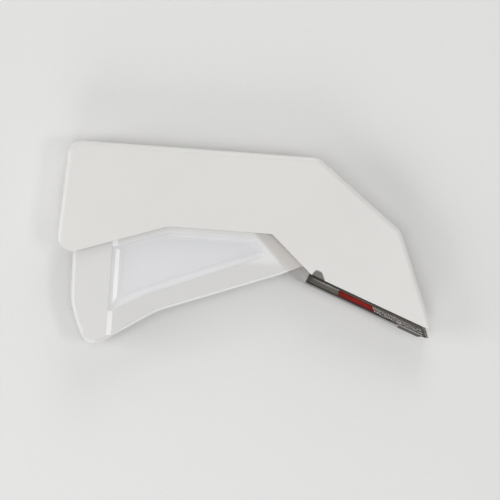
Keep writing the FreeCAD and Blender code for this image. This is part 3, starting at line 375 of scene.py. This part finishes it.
FINISHES = {
    "housing_white": moulded_white("housing_white", (0.708, 0.70, 0.684), (0.692, 0.684, 0.668)),
    "trigger_white": lever_white("trigger_white"),
    "carrier_plastic": coloured_plastic("carrier_plastic", (0.64, 0.61, 0.55), (0.58, 0.55, 0.5)),
    "plug_grey": coloured_plastic("plug_grey", (0.42, 0.412, 0.40), (0.36, 0.352, 0.342), 0.4),
    "follower_red": coloured_plastic("follower_red", (0.285, 0.021, 0.015),
                                     (0.215, 0.016, 0.012), 0.34, 0.12),
    "magazine_steel": channel_steel("magazine_steel"),
    "anvil_steel": rail_steel("anvil_steel"),
    "bright_steel": blade_steel("bright_steel"),
    "staple_wire": drawn_wire("staple_wire", (0.49, 0.455, 0.425), 0.27),
    "spring_steel": drawn_wire("spring_steel", (0.48, 0.47, 0.46)),
}


# New pieces as surfaces

def surface(name, points, faces, finish, *stands_for):
    """Puts an array of points and its faces into a piece, smooth but for its sharp edges."""
    mesh = bpy.data.meshes.new(name)
    mesh.from_pydata(points.tolist(), [], faces)
    mesh.polygons.foreach_set("use_smooth", np.ones(len(mesh.polygons), dtype=bool))
    mesh.set_sharp_from_angle(angle=math.radians(60))
    mesh.materials.append(FINISHES[finish])
    piece = bpy.data.objects.new(name, mesh)
    bpy.context.scene.collection.objects.link(piece)
    if stands_for:
        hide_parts(*stands_for)
    return piece


def round_wire(path, side, radius, count=12):
    """Round wire as points and faces.

    Ring i is path[i] + radius[i] * (side[i] * cos(u) + (tangent[i] x side[i]) * sin(u)), u over
    one turn; both ends are closed by a fan to the path's end point.
    """
    tangent = np.gradient(path, axis=0)
    tangent /= np.linalg.norm(tangent, axis=1)[:, None]
    side = side - np.sum(side * tangent, axis=1)[:, None] * tangent
    side /= np.linalg.norm(side, axis=1)[:, None]
    other = np.cross(tangent, side)
    u = np.linspace(0, 2 * np.pi, count, endpoint=False)
    radius = np.broadcast_to(radius, len(path))
    turn = (side[:, None, :] * np.cos(u)[None, :, None]
            + other[:, None, :] * np.sin(u)[None, :, None])
    rings = path[:, None, :] + radius[:, None, None] * turn
    points = np.vstack([rings.reshape(-1, 3), path[:1], path[-1:]])
    i, j = np.meshgrid(np.arange(len(path) - 1), np.arange(count), indexing="ij")
    after = (j + 1) % count
    quads = np.stack([i * count + j, i * count + after,
                      (i + 1) * count + after, (i + 1) * count + j], -1)
    ends = len(path) * count
    last = (len(path) - 1) * count
    ring = np.arange(count)
    near = np.stack([np.full(count, ends), (ring + 1) % count, ring], -1)
    far = np.stack([np.full(count, ends + 1), last + ring, last + (ring + 1) % count], -1)
    return points, quads.reshape(-1, 4).tolist() + near.tolist() + far.tolist()


def gathered(parts):
    """Several point-and-face pairs as one."""
    points, faces, start = [], [], 0
    for some_points, some_faces in parts:
        points.append(some_points)
        faces += [[index + start for index in face] for face in some_faces]
        start += len(some_points)
    return np.vstack(points), faces


STAPLE_COUNT = 35
STAPLE_WIDTH = 5.7 * MM
STAPLE_HEIGHT = 3.9 * MM
STAPLE_WIRE = 0.53 * MM
STAPLE_BEND = 0.62 * MM    # radius of the centreline at the crown's corners
STAPLE_STEP = 0.533 * MM   # from one staple to the next, square to their planes
STAPLE_PITCH = STAPLE_STEP / math.sin(math.radians(MAGAZINE_TURN - NOSE_TURN))


def staple_stack():
    """Thirty-five open staples of round wire, standing parallel to the driver.

    Centreline in the staple's plane: leg, quarter circle, crown, quarter circle, leg; the wire
    thins to a slanted point over the last half millimetre of each leg.
    """
    half = (STAPLE_WIDTH - STAPLE_WIRE) / 2
    point, part_point = 0.55 * MM, 0.25 * MM              # lengths back from a leg's tip
    tip_share, part_share, clearance = 0.25, 0.72, 0.985  # shares of the wire's thickness
    bend = np.linspace(0, np.pi / 2, 7)
    drop = STAPLE_HEIGHT - STAPLE_WIRE / 2
    legs = np.array([drop, drop - part_point, drop - point, drop / 2])
    left_leg = np.stack([np.full(4, -half), legs], -1)
    corner = np.stack([-half + STAPLE_BEND * (1 - np.cos(bend)),
                       STAPLE_BEND * (1 - np.sin(bend))], -1)
    left = np.vstack([left_leg, corner])
    line = np.vstack([left, left[::-1] * [-1, 1]])
    thick = np.full(len(line), STAPLE_WIRE / 2 * clearance)
    thick[[0, -1]] *= tip_share
    thick[[1, -2]] *= part_share
    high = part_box("staples")[1]
    front = high.x - NOSE_RUN[0] * STAPLE_HEIGHT
    back_rise = (STAPLE_COUNT - 1) * STAPLE_PITCH * -MAGAZINE_RUN[1]
    crown = np.array([front, high.y - back_rise, PARTING])
    crown = crown + (NOSE_RUN + NOSE_INWARD) * STAPLE_WIRE / 2
    path = crown + line[:, :1] * ACROSS + line[:, 1:] * NOSE_RUN
    side = np.broadcast_to(NOSE_INWARD, path.shape)
    points, faces = round_wire(path, side, thick, 10)
    stack = [(points - MAGAZINE_RUN * (i * STAPLE_PITCH), faces) for i in range(STAPLE_COUNT)]
    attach(surface("staple_stack", *gathered(stack), "staple_wire", "staples"), "feed")


def trigger_spring():
    """Torsion spring: a leg, two turns and a bit of a helix about the pivot, and a second leg.
    """
    coil_r, wire_r, turn_rise, foot = 3.75 * MM, 0.4 * MM, 0.9 * MM, 2.05 * MM
    leg, leg_start, leg_points = 13 * MM, 0.6 * MM, 8
    front_run, rear_run = heading(24), heading(180)
    start, sweep = math.radians(114), math.radians(696)
    turn = start + np.linspace(0, sweep, 120)
    base = np.array([PIVOT[0], PIVOT[1], PARTING + foot])
    radial = np.stack([np.cos(turn), np.sin(turn), np.zeros_like(turn)], -1)
    rise = (turn - start)[:, None] / (2 * np.pi) * turn_rise * ACROSS
    coil = base + coil_r * radial + rise
    out = np.linspace(leg_start, leg, leg_points)[:, None]
    path = np.vstack([coil[0] + front_run * out[::-1], coil, coil[-1] + rear_run * out])
    side = np.vstack([np.repeat(radial[:1], leg_points, 0), radial,
                      np.repeat(radial[-1:], leg_points, 0)])
    spring = surface("trigger_spring", *round_wire(path, side, wire_r), "spring_steel",
                     "return_spring")
    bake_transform(spring)


def feed_spring():
    """Compression spring behind the follower: a helix along the magazine with close end turns.
    """
    low, high = (np.array(corner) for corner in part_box("follower_spring"))
    coil_r, wire_r, turns, turn_points, closeness = 0.98 * MM, 0.17 * MM, 16, 18, 0.09
    reach = coil_r + wire_r
    length = ((high - low)[0] - 2 * reach * abs(MAGAZINE_RUN[1])) / MAGAZINE_RUN[0]
    centre = (low + high) / 2
    t = np.linspace(0, 1, turns * turn_points)
    turn = 2 * np.pi * turns * t
    travel = (t - 0.5 - closeness * np.sin(2 * np.pi * t)) * (length - 2 * wire_r)
    radial = np.cos(turn)[:, None] * MAGAZINE_UP + np.sin(turn)[:, None] * ACROSS
    path = centre + travel[:, None] * MAGAZINE_RUN + coil_r * radial
    spring = surface("feed_spring", *round_wire(path, radial, wire_r, 8), "spring_steel",
                     "follower_spring")
    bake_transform(spring)


def toe_corner():
    """Rounded inner corner of the trigger's hollow, behind its rounded toe.

    A bar along Z whose section is a ring sector: at each angle, from square to the toe's edge to
    square to the sole, one point on the inner radius and one on the outer.
    """
    outer_r, inner_r, half_depth = 5.585 * MM, 3.8 * MM, 3.1 * MM
    toe_edge, sole = -156.0, -57.2
    turn = np.radians(np.linspace(toe_edge, sole, 34))
    radial = np.stack([np.cos(turn), np.sin(turn), np.zeros_like(turn)], -1)
    rings = [TOE + radius * radial + depth * ACROSS
             for radius, depth in ((inner_r, -half_depth), (outer_r, -half_depth),
                                   (outer_r, half_depth), (inner_r, half_depth))]
    points = np.stack(rings, 1).reshape(-1, 3)
    last = 4 * (len(turn) - 1)
    faces = [[4 * i + k, 4 * i + 4 + k, 4 * i + 4 + (k + 1) % 4, 4 * i + (k + 1) % 4]
             for i in range(len(turn) - 1) for k in range(4)]
    faces += [[0, 1, 2, 3], [last + 3, last + 2, last + 1, last]]
    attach(surface("toe_corner", points, faces, "trigger_white"), "trigger")


def finish_nodes():
    """Gives the piece of each solid the material of its slot."""
    for part in frame["record"]["subparts"]:
        materials = frame["nodes"][part["node"]].data.materials
        materials.clear()
        materials.append(FINISHES[part["material_slot"]])


finish_nodes()
staple_stack()
trigger_spring()
feed_spring()
toe_corner()


# Floor, light and camera

CEILING_LEVEL = 0.16       # share of the walls' tone straight above
WALL_TOP = 0.12            # height on the unit sphere where the walls begin to fade
BACKDROP = (0.73, 0.728, 0.72)
NEAR, FAR = 0.16, 0.5      # distances between which the floor turns into the backdrop


def floor_sheet(half, level):
    """Flat square floor; far from the tool it is seen and mirrored at one even tone."""
    mesh = bpy.data.meshes.new("floor")
    corners = [(-half, -half, level), (half, -half, level),
               (half, half, level), (-half, half, level)]
    mesh.from_pydata(corners, [], [(0, 1, 2, 3)])
    floor = bpy.data.objects.new("floor", mesh)
    bpy.context.scene.collection.objects.link(floor)
    f = Finish("floor_paper")
    fibre = f.noise(900, detail=4, roughness=0.7)
    reach = f.node("VectorMath", {"operation": "LENGTH"}, {0: f.place})
    away = Signal(f, reach.outputs["Value"]).step(NEAR, FAR)
    rays = f.node("LightPath").outputs
    seen, mirrored, through = (Signal(f, rays["Is %s Ray" % kind])
                               for kind in ("Camera", "Glossy", "Transmission"))
    seen = seen.upper(mirrored).upper(through)
    base = f.colour(fibre.spread(), (0.725, 0.723, 0.716), (0.745, 0.743, 0.736))
    paper = f.node("BsdfPrincipled", inputs={"Base Color": base, "Roughness": 0.9})
    even = f.node("Emission", inputs={"Color": (*BACKDROP, 1), "Strength": 1.0})
    mixed = f.node("MixShader", inputs={0: away * seen, 1: paper.outputs[0], 2: even.outputs[0]})
    f.node("OutputMaterial", inputs={"Surface": mixed.outputs[0]})
    floor.data.materials.append(f.block)


def soft_lamp(name, place, size, power, mirrored=True):
    """Square soft box that looks at the tool; metal and gloss can be kept from mirroring it."""
    light = bpy.data.lights.new(name, "AREA")
    light.shape = "SQUARE"
    light.size = size
    light.energy = power
    lamp = bpy.data.objects.new(name, light)
    lamp.location = place
    lamp.rotation_euler = (-Vector(place)).to_track_quat("-Z", "Y").to_euler()
    lamp.visible_glossy = mirrored
    bpy.context.scene.collection.objects.link(lamp)


def studio():
    """Walls of the backdrop's tone that fade to a dim ceiling, one broad lamp, low boxes."""
    f = Finish("studio", bpy.data.worlds)
    fade = f.node("MapRange", inputs={"Value": f.parts(f.direction)[2], "From Min": WALL_TOP,
                                      "From Max": 1.0, "To Min": 1.0, "To Max": CEILING_LEVEL})
    surround = f.node("Background", inputs={"Color": (*BACKDROP, 1),
                                            "Strength": fade.outputs["Result"]})
    f.node("OutputWorld", inputs={"Surface": surround.outputs[0]})
    bpy.context.scene.world = f.block
    bpy.context.scene.view_settings.view_transform = "Standard"
    soft_lamp("overhead", (-0.12, -0.10, 1.5), size=0.8, power=5.5, mirrored=False)
    soft_lamp("right", (0.435, -0.057, 0.772), size=0.18, power=1.0)
    soft_lamp("left", (-0.78, -0.12, 0.45), size=0.45, power=2.3)
    soft_lamp("front", (-0.10, -0.78, 0.45), size=0.45, power=2.0)
    soft_lamp("back", (0.10, 0.78, 0.45), size=0.45, power=1.8)


def overhead_camera():
    """Long lens straight above the upper flank, turned by the tilt of the tool in the view."""
    lens = bpy.data.cameras.new("overhead")
    lens.lens = 180
    lens.sensor_width = 36
    lens.clip_end = 10
    camera = bpy.data.objects.new("overhead", lens)
    camera.location = (1.31 * MM, 1.70 * MM, 1.07)
    camera.rotation_euler = (0, 0, math.radians(4.2))
    bpy.context.scene.collection.objects.link(camera)
    bpy.context.scene.camera = camera


floor_sheet(1.5, 0.0)
studio()
overhead_camera()
